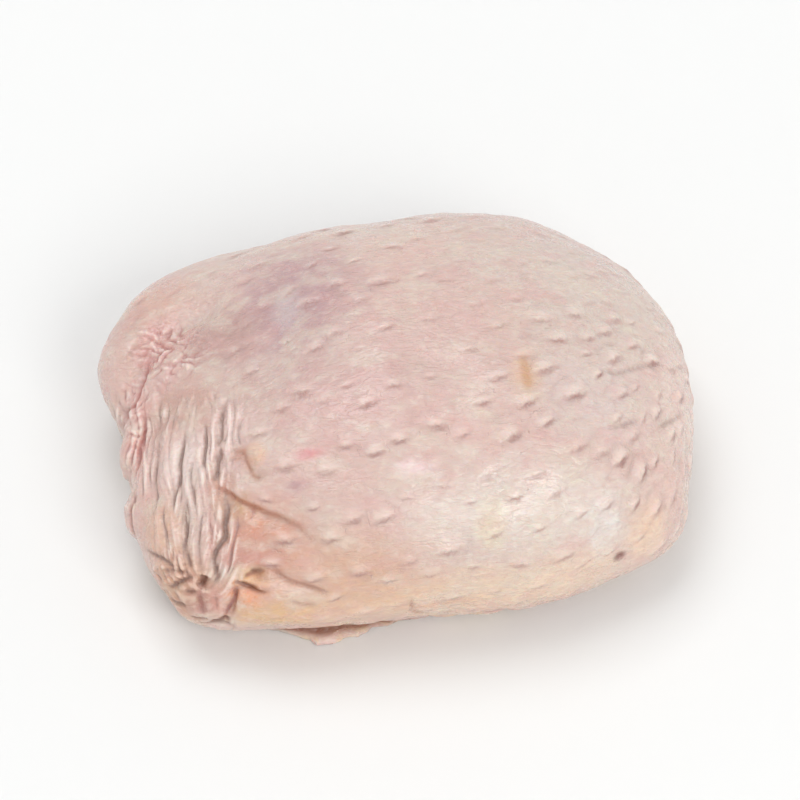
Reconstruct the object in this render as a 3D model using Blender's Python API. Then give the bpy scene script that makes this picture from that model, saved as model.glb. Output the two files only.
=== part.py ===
"""A raw chicken thigh, bone in and skin on, lying skin side up with its skin tucked under.

One solid: a plump mound, longest along X, with its back towards +Y and its flat underside on Z = 0.
The skin is gathered at the left end (-X), where lobes and folds run down to a pinch at the front corner.
Units are metres. A place on the skin is given as (around, above): the degrees round the upright axis,
with 0 at +X, 90 at the back, 180 at the left end and 270 at the front, and the degrees above the level
of the thigh's middle.
"""

import math

import bmesh
import bpy
from mathutils import Vector, noise
from mathutils.geometry import intersect_point_line

# Overall size of the finished thigh.
LENGTH = 0.105
DEPTH = 0.081
HEIGHT = 0.040

# The plain mound, before its lobes and folds: powers above 2 make it boxier than an ellipsoid.
MOUND_LENGTH = 0.102
MOUND_DEPTH = 0.080
LEFT_PLAN_POWER = 4.0
RIGHT_PLAN_POWER = 2.55
UPPER_POWER = 2.1
LOWER_POWER = 3.2
WIDEST_HEIGHT = 0.0148
UNDERSIDE_DROP = 0.018
# The left power gives way to the right one over this share of the length either side of the middle.
POWER_CHANGE = 0.6

# The left end is lower than the right end, and lies a little further forward.
LEFT_END_LOWERING = 0.24
BACKWARD_SLANT = 0.026

# Broad unevenness of the flesh under the skin.
UNEVENNESS = 0.0009
UNEVENNESS_SPACING = 0.026

# Valleys between the lobes and folds: the places that each runs through, its depth and its half width.
VALLEYS = [
    ([(148, 42), (160, 30), (168, 20), (176, 7), (179, -14)], 0.0023, 0.0028),
    ([(182, 34), (187, 24), (192, 12), (196, -2), (196, -16)], 0.0018, 0.0026),
    ([(203, 22), (209, 11), (213, -3), (215, -16)], 0.0013, 0.0024),
    ([(196, 38), (208, 32), (218, 26), (226, 16), (229, 8)], 0.0008, 0.0024),
    ([(214, 44), (224, 34), (228, 26), (230, 16), (232, 0)], 0.0013, 0.0026),
    ([(218, 42), (230, 39), (237, 37), (243, 32), (249, 22)], 0.0010, 0.0028),
    ([(234, 12), (241, 17), (246, 13), (251, 7), (257, 2)], 0.0007, 0.0024),
]

# Rounded swellings and hollows: place, height (below zero for a hollow) and radius.
SWELLINGS = [
    ((144, 14), 0.0013, 0.0095),
    ((158, 12), 0.0030, 0.0095),
    ((188, 8), 0.0012, 0.0050),
    ((205, 4), 0.0014, 0.0050),
    ((226, -6), 0.0016, 0.0080),
    ((239, 28), -0.0014, 0.0070),
    ((230, 5), -0.0016, 0.0045),
    ((296, 30), 0.0006, 0.0150),
    ((316, -4), 0.0022, 0.0110),
]

# The tip of skin that lies on the ground under the front edge.
FLAP_MIDDLE = -0.0165
FLAP_HALF_WIDTH = 0.0125
FLAP_REACH = 0.0062
FLAP_ROOT = 0.012
FLAP_EDGE = 0.034
FLAP_THICKNESS = 0.0022

CELLS_PER_SIDE = 26
LEFT_END_FINENESS = 0.16
STEPS_BETWEEN_PLACES = 4


def clear_scene():
    """Remove the objects of the startup scene."""
    for obj in list(bpy.data.objects):
        bpy.data.objects.remove(obj)


def smooth_step(low, high, value):
    """0 below low, 1 above high, and a smooth rise between them."""
    share = min(max((value - low) / (high - low), 0.0), 1.0)
    return share * share * (3.0 - 2.0 * share)


def bell(distance, width):
    """1 at no distance, falling smoothly to nearly 0 at twice the width."""
    return math.exp(-((distance / width) ** 2))


def direction_at(around, above):
    """The unit direction at so many degrees round the upright axis and above the middle."""
    turn = math.radians(around)
    lift = math.radians(above)
    return Vector((math.cos(turn) * math.cos(lift), math.sin(turn) * math.cos(lift), math.sin(lift)))


def rounded_form(direction):
    """The point of a unit superellipsoid that lies along a direction."""
    rightward = smooth_step(-POWER_CHANGE, POWER_CHANGE, direction.x)
    plan_power = LEFT_PLAN_POWER + (RIGHT_PLAN_POWER - LEFT_PLAN_POWER) * rightward
    side_power = UPPER_POWER if direction.z > 0 else LOWER_POWER
    plan = (abs(direction.x) ** plan_power + abs(direction.y) ** plan_power) ** (1 / plan_power)
    reach = (plan**side_power + abs(direction.z) ** side_power) ** (-1 / side_power)
    return direction * reach


def mound_point(direction):
    """Where the thigh's plain mound lies along a direction from its middle."""
    point = rounded_form(direction)
    lowering = LEFT_END_LOWERING * smooth_step(0.0, 1.0, -point.x)
    rise = (HEIGHT - WIDEST_HEIGHT) * (1 - lowering) if point.z > 0 else UNDERSIDE_DROP
    x = point.x * MOUND_LENGTH / 2
    y = point.y * MOUND_DEPTH / 2 + BACKWARD_SLANT * x
    z = WIDEST_HEIGHT + point.z * rise
    return Vector((x, y, z))


def skin_path(places):
    """Points on the mound along a line through a list of places."""
    points = []
    for start, end in zip(places, places[1:]):
        for step in range(STEPS_BETWEEN_PLACES):
            share = step / STEPS_BETWEEN_PLACES
            around = start[0] + (end[0] - start[0]) * share
            above = start[1] + (end[1] - start[1]) * share
            points.append(mound_point(direction_at(around, above)))
    points.append(mound_point(direction_at(*places[-1])))
    return points


def distance_to_path(point, path):
    """The shortest way from a point to a line of points."""
    shortest = math.inf
    for start, end in zip(path, path[1:]):
        nearest, share = intersect_point_line(point, start, end)
        if share < 0:
            nearest = start
        elif share > 1:
            nearest = end
        shortest = min(shortest, (point - nearest).length)
    return shortest


def fold_skin(form):
    """Move the mound's points along its normals, for the flesh's unevenness, lobes and valleys."""
    valleys = [(skin_path(places), depth, width) for places, depth, width in VALLEYS]
    swellings = [(mound_point(direction_at(*place)), height, width) for place, height, width in SWELLINGS]
    form.normal_update()
    moves = []
    for vertex in form.verts:
        height = UNEVENNESS * noise.noise(vertex.co / UNEVENNESS_SPACING)
        for middle, swelling, width in swellings:
            height += swelling * bell((vertex.co - middle).length, width)
        deepest = 0.0
        for path, depth, width in valleys:
            deepest = max(deepest, depth * bell(distance_to_path(vertex.co, path), width))
        moves.append(vertex.normal * (height - deepest))
    for vertex, move in zip(form.verts, moves):
        vertex.co += move


def lay_flap(point):
    """Draw the lowest skin of the front edge forwards into a thin tip on the ground."""
    sideways = bell(point.x - FLAP_MIDDLE, FLAP_HALF_WIDTH)
    forwards = smooth_step(FLAP_ROOT, FLAP_EDGE, -point.y)
    low = 1 - smooth_step(0.0, FLAP_THICKNESS, point.z)
    point.y -= FLAP_REACH * sideways * forwards * low


def fit_overall_size(form):
    """Centre the thigh over the origin and bring it to its overall size."""
    for axis, size in enumerate((LENGTH, DEPTH)):
        low = min(vertex.co[axis] for vertex in form.verts)
        high = max(vertex.co[axis] for vertex in form.verts)
        for vertex in form.verts:
            vertex.co[axis] = (vertex.co[axis] - (low + high) / 2) * size / (high - low)
    top = max(vertex.co.z for vertex in form.verts)
    for vertex in form.verts:
        vertex.co.z *= HEIGHT / top


def make_material():
    """Pale moist skin."""
    material = bpy.data.materials.new("skin")
    material.use_nodes = True
    shader = material.node_tree.nodes["Principled BSDF"]
    shader.inputs["Base Color"].default_value = (0.72, 0.52, 0.47, 1.0)
    shader.inputs["Roughness"].default_value = 0.4
    shader.inputs["Metallic"].default_value = 0.0
    return material


def make_thigh(collection):
    """The whole thigh as one object, from a cube that is cut into a grid and shaped."""
    form = bmesh.new()
    bmesh.ops.create_cube(form, size=2.0)
    bmesh.ops.subdivide_edges(form, edges=form.edges[:], cuts=CELLS_PER_SIDE - 1, use_grid_fill=True)
    for vertex in form.verts:
        vertex.co.x -= LEFT_END_FINENESS * (1 - vertex.co.x**2)
        spread = Vector([math.tan(c * math.pi / 4) for c in vertex.co])
        vertex.co = mound_point(spread.normalized())
    fold_skin(form)
    for vertex in form.verts:
        vertex.co.z = max(vertex.co.z, 0.0)
        lay_flap(vertex.co)
    fit_overall_size(form)

    mesh = bpy.data.meshes.new("thigh")
    form.to_mesh(mesh)
    form.free()
    mesh.shade_smooth()
    mesh.materials.append(make_material())
    thigh = bpy.data.objects.new("thigh", mesh)
    collection.objects.link(thigh)


def main():
    """Build the thigh in a collection of its own."""
    clear_scene()
    collection = bpy.data.collections.new("chicken thigh")
    bpy.context.scene.collection.children.link(collection)
    make_thigh(collection)


main()
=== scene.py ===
"""A raw chicken thigh lying skin side up: the moist skin with its folds, creases and follicle marks, and the
bare meat inside the skin's edge underneath.

Lengths are millimetres unless a comment says otherwise. A place seen by the camera is (across, up), to the
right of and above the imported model's origin, which is under the middle of the thigh. A place on the thigh is
(x, y, z). A SPAN is where a smooth rise from 0 to 1 starts and ends. A NOISE is the size of its lumps and a
shift that sets it apart from the others. Layers of noise are a list of heights with their noises.
"""

import math
import random

import bmesh
import bpy
import numpy as np
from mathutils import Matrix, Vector, noise
from mathutils.bvhtree import BVHTree
from mathutils.kdtree import KDTree


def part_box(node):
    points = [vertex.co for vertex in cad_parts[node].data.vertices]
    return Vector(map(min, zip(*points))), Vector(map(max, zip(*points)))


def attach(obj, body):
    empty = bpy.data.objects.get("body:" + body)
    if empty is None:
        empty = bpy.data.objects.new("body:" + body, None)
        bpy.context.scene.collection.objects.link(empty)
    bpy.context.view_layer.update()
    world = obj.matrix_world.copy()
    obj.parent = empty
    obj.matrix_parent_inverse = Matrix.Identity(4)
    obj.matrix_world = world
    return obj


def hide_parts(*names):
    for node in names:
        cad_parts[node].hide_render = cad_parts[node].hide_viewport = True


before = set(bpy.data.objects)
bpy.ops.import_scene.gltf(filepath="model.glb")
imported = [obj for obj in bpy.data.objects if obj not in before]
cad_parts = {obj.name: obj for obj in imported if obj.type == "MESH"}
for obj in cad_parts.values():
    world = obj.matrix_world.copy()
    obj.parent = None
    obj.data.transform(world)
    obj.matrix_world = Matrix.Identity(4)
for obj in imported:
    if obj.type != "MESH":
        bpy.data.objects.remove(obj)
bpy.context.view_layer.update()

MM = 0.001

# The camera, the floor with its backdrop, and the light, in metres.
CAMERA_AZIMUTH = -6
CAMERA_ELEVATION = 52
CAMERA_LENS = 180
CAMERA_DISTANCE = 0.71
FLOOR_RADIUS = 0.9
BACKDROP_RADIUS = 1.3
BACKDROP_HEIGHT = 0.7
BACKDROP_STEPS = 12
FLOOR_COLOUR = (0.86, 0.86, 0.85, 1.0)
FLOOR_ROUGHNESS = 0.9
SKY_COLOUR = (0.97, 0.98, 1.0, 1.0)
SKY_STRENGTH = 0.56
# The soft lamps: name, place, side, power and colour.
LAMPS = [
    ("key", (0.50, -1.10, 0.98), 0.75, 9.4, (1.0, 0.985, 0.96)),
    ("top", (-0.30, 0.50, 1.60), 1.0, 10.6, (0.98, 0.99, 1.0)),
]

# The skin's mesh. Its finer parts are left of and below an (across, up) place, and face the camera so much.
MERGE_DISTANCE = 0.02
SKIN_MESH_STEP = 0.59
SMOOTHING = 0.5
SMOOTHING_ROUNDS = 7
FINE_SMOOTHING_ROUNDS = 2
FINE_PARTS = [(-23.5, 19), (-31, 30)]
FINE_FACING = -0.15
# The share of faces kept underneath, where the skin is covered by the meat or lies on the ground.
UNDERSIDE_DECIMATION = 0.2
# How far out a ray at the skin starts, and where one that misses looks for the nearest skin.
RAY_START = 200
MISS_HEIGHT = 20

# Broad swellings and hollows that bring the outline closer to the real one: place, height and radius.
SWELLINGS = [
    ((45, -26, 9), 2.3, 9.5),
    ((51.5, 10.5, 10), -0.9, 8),
    ((47, 21, 20.5), -0.9, 8),
    ((37, 28, 26), -1.3, 9),
    ((7, 36.5, 26), 0.8, 9),
    ((-26, 35, 25), -1, 9),
    ((-52, 14.5, 17), 0.8, 6),
    ((-51.5, 6.5, 9.5), -1.4, 4.5),
    ((-49.3, -8.5, 12), -1.1, 3.5),
    ((-49.6, -16.5, 15), 0.8, 3),
    ((-48.9, -21, 11.8), -1, 3),
    ((-45.5, -31, 10), -1.4, 5),
]

# Creases of the gathered left end, by finish. Each crease: its places as the camera sees them, its depth,
# the half width of its dark bottom and how strongly that bottom is darkened with painted shade.
GREY_CREASES = [
    ([(-42.1, 6), (-42.6, 2), (-42.6, -1.5), (-42.3, -4.7), (-42.6, -8.4)], 0.45, 1.3, 0.4),
    ([(-37.5, 7.1), (-37.8, 4.4), (-38.3, 1.7), (-38.3, -0.9), (-38.9, -4.1), (-39.1, -7.3)], 0.8, 1.2, 0.8),
    ([(-35.9, 2.3), (-36.2, -0.9), (-35.6, -4.1), (-35.1, -6.3)], 0.45, 1, 0.5),
    ([(-33.8, 9.2), (-33.8, 6), (-34, 2.8), (-33.8, -0.4)], 0.65, 1.1, 0.8),
    ([(-30.8, 11.9), (-31.1, 8.9), (-31.1, 6.5), (-31.9, 3.9)], 0.55, 1.2, 0.7),
    ([(-31.1, 4.4), (-31.4, 1.7), (-31.6, -0.4), (-32.2, -2)], 0.8, 1.2, 0.8),
    ([(-30.3, -3.6), (-30, -6.3), (-30.4, -8.9), (-30.3, -11.1), (-31.4, -13.2), (-31.9, -15.6),
      (-31.6, -18.3), (-33, -20.2)], 1.1, 1.5, 1),
    ([(-36.7, -4.7), (-37.2, -7.6), (-37, -10.3), (-37.2, -12.7), (-36.4, -15.4),
      (-35.1, -18)], 0.8, 1.3, 0.8),
    ([(-34, -6.3), (-34.3, -8.9), (-34.6, -12.1), (-34.3, -15.4), (-34, -18)], 0.45, 1, 0.45),
    ([(-40.7, -5.2), (-41, -8.4), (-40.2, -11.6), (-39.4, -14.3)], 0.4, 1.2, 0.35),
    ([(-27.9, 9.2), (-28.2, 6.5), (-27.4, 3.9)], 0.35, 1, 0.4),
    ([(-44.6, -13.4), (-43, -14.3), (-41.1, -15.2), (-39.6, -16.2), (-38.3, -17.2)], 0.7, 1.7, 0.7),
    ([(-41.8, -17.3), (-40, -17.1), (-38.5, -17), (-36.9, -17.4), (-35.4, -18)], 0.6, 1.6, 0.65),
    ([(-40.7, -20.5), (-39.2, -19.9), (-37.7, -19.1), (-36.2, -18.4), (-35, -18.2)], 0.8, 1.8, 0.8),
    ([(-43.6, -20.6), (-42.4, -21.4), (-41.2, -21.6)], 0.5, 1.6, 0.8),
    ([(-40.8, -22.5), (-39.5, -23.1), (-38.1, -23.4), (-36.8, -23.2)], 0.6, 1.8, 0.85),
    ([(-37, -25.3), (-35.6, -25.8), (-34, -25.9), (-32.8, -25.5)], 0.6, 1.7, 0.75),
    ([(-35.6, -26.6), (-33, -26.8), (-30.3, -26.6), (-28.7, -27.4)], 0.7, 1.2, 1),
    ([(35.6, 7.2), (38.6, 7.9), (41.8, 9.1)], 0.3, 1.3, 0.35),
    ([(44.6, 7.2), (47.6, 8.6), (50.8, 10.3)], 0.3, 1.3, 0.35),
    ([(34, 17.5), (38, 17.2), (43, 18.2), (47, 17.6)], 0.25, 1.3, 0.25),
]
RED_CREASES = [
    ([(-44.2, 20.2), (-45, 17.8), (-46.1, 14.8), (-46.9, 12.1), (-47.9, 10.3), (-48.7, 8.4)], 0.9, 1.8, 0.7),
    ([(-45.3, 10), (-45, 7.1), (-45.8, 4.1), (-45.8, 1.2), (-46.6, -2)], 0.6, 1.4, 0.7),
    ([(-46.6, -2.5), (-46.3, -4.7), (-47.1, -7.3), (-46.9, -10.5), (-45.8, -12.4)], 0.5, 1.3, 0.4),
    ([(-32.2, -4.7), (-32.7, -7.9), (-32.2, -11.1), (-33, -14.3), (-33.8, -17.5)], 0.4, 0.9, 0.45),
    ([(-28.4, -5.7), (-28.2, -8.9), (-28.7, -12.1), (-29.2, -15.4), (-29.8, -18.6)], 0.45, 1.1, 0.45),
    ([(-34.6, -20.7), (-34.3, -22.8), (-34, -25)], 0.6, 1, 0.7),
    ([(-28.4, -19.6), (-28.7, -21.8), (-29.8, -23.9), (-30.6, -26)], 0.9, 1.3, 0.9),
    ([(-31.9, -20.7), (-31.6, -22.8), (-31.4, -25)], 0.35, 0.9, 0.4),
    ([(-25.5, -5.2), (-25.2, -6.8), (-25.8, -8.4)], 0.3, 0.8, 0.6),
]
ORANGE_CREASES = [
    ([(-29.2, 3.7), (-28.2, 3.4), (-27.1, 3.1), (-26.6, 1.7), (-25.8, 0.3), (-25.4, -1.2)], 0.5, 1.9, 0.55),
    ([(-22.3, -15.6), (-21, -17.2), (-19.1, -18.6), (-16.7, -19.4), (-14, -20.2),
      (-11.3, -21.2)], 0.7, 1.4, 0.6),
    ([(-29.2, -18.6), (-27.6, -19.2), (-25.8, -20), (-23.9, -20.7), (-22, -20.4)], 1, 1.2, 1),
    ([(-27.1, -18.3), (-25.5, -17.5), (-23.9, -17)], 0.6, 1, 0.8),
    ([(-19.6, -21.8), (-17, -22.8), (-13.8, -23.1)], 0.3, 1.2, 0.3),
    ([(1.7, -21.2), (2, -22.8), (2.5, -24.7), (5.5, -25)], 0.3, 1, 0.5),
    ([(-27.6, -18.9), (-28.4, -21.4), (-28.8, -23.5), (-29.6, -25.8)], 0.7, 1.1, 0.8),
    ([(-25.9, -0.4), (-24.8, -0.9), (-23.6, -0.9)], 0.4, 1.5, 0.55),
]
DARK_CREASES = [
    ([(-33.2, -17.7), (-33.7, -18.9), (-34.4, -20.2)], 0.9, 2.2, 1),
    ([(-37.2, -20.3), (-36, -20.7), (-34.8, -20.5)], 0.4, 1.4, 0.6),
    ([(-33.5, -26.6), (-31.2, -26.3), (-30.2, -25.7), (-29.6, -27.2)], 0.9, 1.9, 0.9),
    ([(-28.2, -18.7), (-26.3, -19.4), (-25.2, -20), (-24, -20.1)], 0.6, 1.3, 0.9),
    ([(-25.9, -17.1), (-24.6, -16.9), (-23.1, -17.3)], 0.5, 1.4, 0.7),
]
# Folds where the skin is drawn down and under, out of the photographed view: their places on the thigh.
HIDDEN_CREASES = [
    ([(44.5, -21, 8), (38, -29, 5.5), (29, -34, 4)], 1, 2.4, 0.5),
    ([(18, -36.5, 6), (8, -37.5, 4), (0, -37, 3)], 0.8, 2, 0.4),
    ([(-50, 14, 9), (-47, 22, 7), (-41, 29.5, 4)], 1.1, 2.4, 0.6),
    ([(-12, 39, 4), (-20, 37, 7), (-29, 33, 7.5)], 0.9, 2.2, 0.5),
    ([(51, 12, 5), (51.5, 5, 4.5), (50, -3, 2.5)], 0.8, 2.2, 0.4),
]
SEEN_CREASES = [GREY_CREASES, RED_CREASES, ORANGE_CREASES, DARK_CREASES]

# A crease: how far its rounded sides reach beyond its dark bottom, how steep they are, the shares of its
# depth in them and in its narrow bottom, how wide that is, and the share of its length where an end runs out.
PILLOW_REACH = 1.0
SIDE_STEEPNESS = 1.7
SIDE_SHARE = 0.75
BOTTOM_SHARE = 0.45
BOTTOM_WIDTH = 0.6
CREASE_RUN_OUT = 0.3
CREASE_END = -0.15
CREASE_STEP = 0.2
# Its line of painted shade: least half width, what the crease's own width adds, and how ragged it is.
LINE_WIDTH = 0.14
LINE_WIDENING = 0.26
LINE_RAGGEDNESS = [(0.45, (1.4, 5))]

# Tucks, where the skin lies over itself. Each: the places along its edge, how far the skin on the right of
# that way lies below the skin on its left, and how strongly the corner between them is darkened with painted
# shade.
TUCKS = [
    ([(-32.4, -0.7), (-31.6, -2.3), (-29.5, -3.3), (-27.4, -4.7), (-25.2, -5.6), (-22.8, -6.7),
      (-20.2, -7.7), (-17.5, -9.2), (-15.1, -11.6), (-13, -14.8)], 0.85, 0.85),
    ([(-3, 39.8, 4), (-16, 38.8, 10), (-29, 35, 15), (-39, 28.5, 18)], 1.2, 0.5),
    ([(29, 34, 2.5), (22, 37.5, 6), (12, 39.5, 11), (2, 40, 16)], 1.1, 0.4),
    ([(48.5, 10, 3.5), (46.5, 18, 8), (40, 27, 13), (31, 33, 17.5)], 1.2, 0.45),
    ([(47.5, -17, 4), (51, -8, 8.5), (52.5, 2, 13), (51.5, 10, 17)], 1.0, 0.35),
]
TUCK_RECESS_WIDTH = 6.0
TUCK_STEP_HALF = 0.25
TUCK_LIP = 1.5
TUCK_LIP_DROP = 0.6
TUCK_START = 0.2
TUCK_RUN_OUT = 0.6
# The line of painted shade in a tuck's corner.
CORNER_SHIFT = 0.1
CORNER_WIDTH = 0.6
CORNER_REACH = 2.0
# How many widths away a tuck or the flap's groove still reaches.
GROOVE_REACH = 2.5

# Narrow ridges that run down the left end and are drawn together at the pinch.
PINCH = (-34.3, -19.4)
PINCH_PULL = 3.2
RIDGE_WIDTH = 1.55
RIDGE_LENGTH = 7.0
RIDGE_WANDER = [(0.9, (6, 2))]
# The angle over which the ridges stop below the pinch, where they would meet from both sides.
RIDGE_GAP = 0.4
# Broad and narrow ridges, and the height, contrast and level that make a relief of them.
RIDGE_LAYERS = [(1.0, (1.0, 3)), (0.35, ((1 / 2.1, 1 / 1.6, 1.0), 8))]
RIDGE_RELIEF = (0.62, 1.7, 0.5)
GATHERED_ACROSS_SPAN = (-24, -30)
GATHERED_UP_SPAN = (17, 9)
# Their uneven height, and its least share.
UNEVEN_NOISE = (7, 6)
UNEVEN_SPAN = (-0.35, 0.35)
UNEVEN_LEAST = 0.35

# The flap of skin under the front edge: middle, half width and way backwards of its tip and its sides, then
# of the thigh's edge above it, and the groove where it comes out, with a dark line of painted shadow in it.
FLAP_MOVES = [(-17.5, 3.0, -1.8), (-17.0, 12.0, 1.1)]
EDGE_MOVE = (-17.0, 18.0, 1.7)
FLAP_TOP_SPAN = (2.6, 1.4)
EDGE_FOOT_SPAN = (2.0, 3.6)
EDGE_TOP_SPAN = (14, 7)
FRONT_SPAN = (-30, -36)
FLAP_ROOT = [(-35, -33, 2.3), (-28, -34.9, 2.5), (-22, -35.5, 2.6), (-18, -35.7, 2.6), (-13, -35.7, 2.5),
             (-7, -35.5, 2.4), (2, -34.9, 2.3)]
FLAP_ROOT_DEPTH = 0.8
FLAP_ROOT_WIDTH = 1.2
FLAP_ROOT_RUN_OUT = 0.25
FLAP_SHADOW_WIDTH = 0.95
FLAP_SHADOW_DARKNESS = 0.95

# Crumpled patches, at the upper left, down the left edge and round the pinch: middle, reach, strength and
# how red their hollows are.
CRUMPLES = [
    ((-41.0, 21.0), (8.0, 7.0), 0.75, 1.0),
    ((-46.8, 10.0), (3.4, 11.0), 0.55, 1.0),
    ((-38.8, -19.5), (6.5, 6.0), 0.5, 0.0),
]
CRUMPLE_EDGE_SPAN = (1.2, 0.45)
# Their broad and fine folds, how these lean sideways, and how far another noise warps them.
CRUMPLE_LAYERS = [(1.0, ((3.4, 1.9, 2.2), 1)), (0.45, (1.2, 5))]
CRUMPLE_RELIEF = (0.62, 1.8, 0.55)
CRUMPLE_LEAN = 0.5
WARP_REACH = 1.6
WARP_SIZE = 3.0
WARP_SHIFTS = (1, 5, 9)

# Unevenness of all the skin, lumps on the hidden sides, and a fine grain.
UNEVENNESS = [(0.40, (13, 3)), (0.22, (6.5, 0)), (0.10, (3.2, 7))]
HIDDEN_LUMPS = [(1.1, (19, 15))]
GRAIN = [(0.08, ((2.8, 1.5, 1.5), 4))]
# How much a point faces the camera where the seen creases and the hidden lumps start and are full.
SEEN_SPAN = (-0.25, 0.1)
HIDDEN_SPAN = (0.1, -0.3)

# Low folds round the foot of the thigh, where the skin is drawn down and under: how high they reach, how much
# higher behind, how uneven their upper edge is, and how far below it they are at their full height.
FOOT_HEIGHT = 9.0
FOOT_EXTRA_BEHIND = 8.0
FOOT_WANDER = [(6.0, (12, 4))]
FOOT_FADE = 8.0
FOOT_SIDE_SPAN = (0.85, 0.4)
BEHIND_SPAN = (-20, 10)
BEHIND_TURN = 0.4
# Their broad and fine pleats, the least share of their height, and the fat in them.
PLEAT_LAYERS = [(1.0, ((5.5, 5.5, 22), 9)), (0.4, ((2.2, 2.2, 11), 2))]
PLEAT_RELIEF = (1.3, 1.5, 0.45)
PLEAT_LEAST = 0.45
FAT_LUMPS = [(0.3, (4.2, 12))]

# Follicles: staggered rings round the thigh's inner axis, closer together at the right end.
FOLLICLE_AXIS_HALF = 27.0
FOLLICLE_END_RADIUS = 27.0
FOLLICLE_AXIS_HEIGHT = 13.0
# The steps from ring to ring and along a ring, and the least gap: usual, and at the right end.
RING_STEP = (3.9, 3.3)
ROW_STEP = (11.4, 7.0)
FOLLICLE_GAP = (4.4, 3.3)
DENSE_RING_SPAN = (24, 40)
RIGHT_END_SPAN = (24, 38)
# The degrees up from the front that a ring covers, and the share of its first step, by turns.
RING_ARC = range(-50, 231)
STAGGER = (0.75, 0.25)
PLACE_SEED = 11
STEP_DRAW = (0.92, 1.08)
AHEAD_DRAW = (-0.9, 0.9)
ASIDE_DRAW = (-0.8, 0.8)
# Their marks: slant in degrees, strength and size, with what the right end adds, and what is drawn.
MARK_SEED = 5
SLANT = (10, 20)
SLANT_DRAW = (-14, 14)
STRENGTH = (0.95, 0.2)
STRENGTH_DRAW = (0.5, 1.15)
MARK_SIZE = (1.0, -0.1)
SIZE_DRAW = (0.7, 1.3)
# Marks are turned round on skin that faces backwards more than this.
BACKWARD_FACING = 0.75
# Where the marks are weaker: by how much, and its spans along axis 0, 1 or 2.
WEAKER_MARKS = [
    (0.5, {0: (-8, -22), 1: (-6, 6)}),
    (0.62, {0: (2, 14), 1: (-6, 10), 2: (16, 24)}),
    (1.0, {2: (8, 2)}),
    (0.5, {2: (19, 12), 1: (-20, -32)}),
]
NO_MARKS_ACROSS_SPAN = (-25, -31)
NO_MARKS_UP_SPAN = (22, 14)
# A follicle's bump: height, half widths above, below and along the mark's bent line, and how bent that is.
FOLLICLE_HEIGHT = 0.32
BUMP_ABOVE = 1.6
BUMP_BELOW = 0.55
BUMP_ALONG = 1.8
MARK_BEND = 0.05
# The dip under it: depth as a share of the bump, place and half widths.
DIP_DEPTH = 0.25
DIP_BELOW = 0.8
DIP_WIDTH = 0.45
DIP_ALONG = 1.5
# Where a mark ends: towards the next follicle, and away from its own.
MARK_BORDER_SPAN = (0.0, 1.1)
MARK_REACH_SPAN = (3.4, 2.6)
# The shallow net of wrinkles between them: depth, usual and at the right end, edges and breaks.
NET_DEPTH = (0.05, 0.11)
NET_DENSE_SPAN = (22, 36)
NET_WIDTH_SPAN = (1.8, 0.0)
NET_RAGGEDNESS = [(0.9, (1.8, 4))]
NET_BREAK_SPAN = (-0.35, 0.3)
NET_BREAK_NOISE = (6, 11)

# The relief that the materials see: a point's height against that of the points so many edges around.
RELIEF_ROUNDS = 16
RELIEF_RANGE = 0.25

# The skin's opening underneath, where the meat shows, and the layers of its edge's unevenness.
OPENING_MIDDLE = (2.0, 1.0)
OPENING_HALF = (36.0, 24.0)
OPENING_EDGE = [(0.09, (14, 2)), (0.035, (4, 6))]
SKIN_THICKNESS = 1.6
# The underside, and how much of one a point has to be for the meat and for fewer faces.
UNDER_FACING_SPAN = (-0.1, -0.4)
UNDER_HEIGHT_SPAN = (9, 6)
UNDER_FOR_MEAT = 0.5
UNDER_FOR_THINNING = 0.9
# The edges of what is recessed, meat, covered skin and skin on the ground: 1 is the opening's edge.
RECESS_SPAN = (1.02, 0.97)
MEAT_EDGE = 1.08
COVERED_EDGE = 0.9
GROUND_EDGE = 1.12
GROUND_HEIGHT = 1.2
# The meat, and how far its fibres, seams and rim lie below the skin.
MEAT_THICKNESS = 2.0
FIBRE_NOISE = ((7, 0.9, 2), 3)
FIBRE_DEPTH = 0.12
SEAM_NOISE = ((16, 7, 10), 8)
SEAM_SPAN = (0.09, 0)
SEAM_DEPTH = 0.8
SEAM_COLOUR_SPAN = (0.16, 0.03)
MEAT_RIM_SPAN = (0.7, 1.0)
MEAT_RIM_DEPTH = 0.55


def select_only(obj):
    """Make one object the only selected and the active one."""
    bpy.ops.object.select_all(action="DESELECT")
    obj.select_set(True)
    bpy.context.view_layer.objects.active = obj


def add_to_scene(name, data):
    """A new object with this data, in the scene."""
    obj = bpy.data.objects.new(name, data)
    bpy.context.scene.collection.objects.link(obj)
    return obj


def apply_modifier(obj, kind, **settings):
    """Add a modifier with these settings and apply it."""
    select_only(obj)
    modifier = obj.modifiers.new(kind.lower(), kind)
    for name, value in settings.items():
        setattr(modifier, name, value)
    bpy.ops.object.modifier_apply(modifier=modifier.name)


def view_axes(azimuth, elevation):
    """The directions to the right, upwards and towards the camera, as a camera at those angles has them."""
    turn = math.radians(azimuth)
    lift = math.radians(elevation)
    right = Vector((math.cos(turn), math.sin(turn), 0.0))
    towards = Vector((math.sin(turn) * math.cos(lift), -math.cos(turn) * math.cos(lift), math.sin(lift)))
    return right, towards.cross(right), towards


RIGHT, UP, TOWARDS = view_axes(CAMERA_AZIMUTH, CAMERA_ELEVATION)
MIDDLE = sum(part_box("thigh"), Vector()) / 2


def smooth_step(low, high, values):
    """0 at low, 1 at high, and a smooth rise between them. High may be the lower of the two."""
    share = np.clip((values - low) / (high - low), 0.0, 1.0)
    return share * share * (3.0 - 2.0 * share)


def bell(distances, width):
    """1 at no distance, falling smoothly to nearly 0 at twice the width."""
    return np.exp(-((distances / width) ** 2))


def between(ends, share):
    """The number that lies at a share of the way from the first to the second."""
    return ends[0] + (ends[1] - ends[0]) * share


def noise_at(points, size, shift):
    """Smooth noise between about -1 and 1 with lumps of one size, or of one size along each axis."""
    scaled = points / np.asarray(size) + shift
    return np.array([noise.noise(Vector(point)) for point in scaled.tolist()])


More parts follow.
